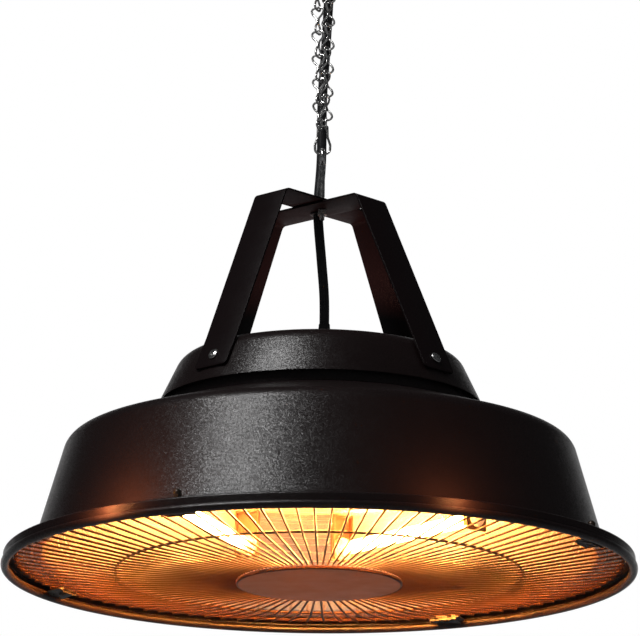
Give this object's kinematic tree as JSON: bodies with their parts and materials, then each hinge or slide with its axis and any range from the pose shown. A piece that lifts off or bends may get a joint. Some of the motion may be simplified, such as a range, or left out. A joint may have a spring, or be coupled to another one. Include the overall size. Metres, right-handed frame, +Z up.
{
  "type": "hanging patio heater",
  "caption": "Hanging electric patio heater: round metal shade with halogen tubes behind a radial wire guard, crossed straps on its cap, and a chain and mains cable up to a ceiling bracket.",
  "frame": {"origin": "centre of the ceiling plate's top face, where the heater is fixed to a ceiling or beam", "axes": "+Z up, out of the top face; the heater hangs along -Z; -Y towards the viewer of the picture, +X to its right"},
  "size_m": [0.5998, 0.5998, 0.6293],
  "materials": {
    "zinc_plated_steel": "bright zinc plate",
    "cable_rubber": "matt black sheath",
    "chain_steel": "bright zinc-plated wire",
    "black_strap_coat": "satin black powder coat",
    "black_textured_coat": "fine textured black powder coat",
    "black_plastic": "matt moulded",
    "galvanised_sheet": "galvanised",
    "polished_reflector": "polished",
    "lamp_glass": "clear quartz tube, gold when lit",
    "grille_wire_coat": "black heat-proof coat",
    "grille_disc_coat": "dark heat-proof coat"
  },
  "bodies": {
    "ceiling": {"ceiling_plate": "zinc_plated_steel", "hanger_bracket": "zinc_plated_steel", "hanger_pin": "zinc_plated_steel", "hanger_pin_nut": "zinc_plated_steel", "ceiling_screw_1": "zinc_plated_steel", "ceiling_screw_2": "zinc_plated_steel", "ceiling_grommet": "cable_rubber", "cable_upper": "cable_rubber"},
    "chain": {"chain_left_1": "chain_steel", "chain_left_2": "chain_steel", "chain_left_3": "chain_steel", "chain_left_4": "chain_steel", "chain_left_5": "chain_steel", "chain_left_6": "chain_steel", "chain_right_1": "chain_steel", "chain_right_2": "chain_steel", "chain_right_3": "chain_steel", "chain_right_4": "chain_steel", "chain_right_5": "chain_steel", "chain_right_6": "chain_steel", "left_end_ring": "chain_steel", "right_end_ring": "chain_steel", "joining_ring": "chain_steel", "cable_lower": "cable_rubber"},
    "heater": {"eye_bolt": "zinc_plated_steel", "eye_nut_upper": "zinc_plated_steel", "eye_nut_lower": "zinc_plated_steel", "strap_screw_1": "zinc_plated_steel", "strap_screw_2": "zinc_plated_steel", "strap_screw_3": "zinc_plated_steel", "strap_screw_4": "zinc_plated_steel", "grille_clip_1": "zinc_plated_steel", "grille_clip_2": "zinc_plated_steel", "grille_clip_3": "zinc_plated_steel", "grille_clip_4": "zinc_plated_steel", "cable_head": "cable_rubber", "strap_grommet": "cable_rubber", "strap_upper": "black_strap_coat", "strap_lower": "black_strap_coat", "cap_shell": "black_textured_coat", "support_ring": "black_textured_coat", "shade": "black_textured_coat", "cable_gland": "black_plastic", "gland_nut": "black_plastic", "terminal_block": "black_plastic", "gear_plate": "galvanised_sheet", "lamp_holder_front_a": "galvanised_sheet", "lamp_holder_front_b": "galvanised_sheet", "lamp_holder_right_a": "galvanised_sheet", "lamp_holder_right_b": "galvanised_sheet", "lamp_holder_left_a": "galvanised_sheet", "lamp_holder_left_b": "galvanised_sheet", "reflector": "polished_reflector", "lamp_front": "lamp_glass", "lamp_right": "lamp_glass", "lamp_left": "lamp_glass", "grille_wires": "grille_wire_coat", "grille_mid_ring": "grille_wire_coat", "grille_disc": "grille_disc_coat"}
  },
  "joints": [
    {"name": "chain_swing", "type": "hinge", "parent": "ceiling", "child": "chain", "pos_m": [0, 0, -0.028], "axis": [1, 0, 0], "range_deg": [-25, 25], "deforming": ["cable_upper"]},
    {"name": "heater_swing", "type": "hinge", "parent": "chain", "child": "heater", "pos_m": [0, 0, -0.2021], "axis": [0, 1, 0], "range_deg": [-20, 20], "deforming": ["cable_lower"]}
  ]
}
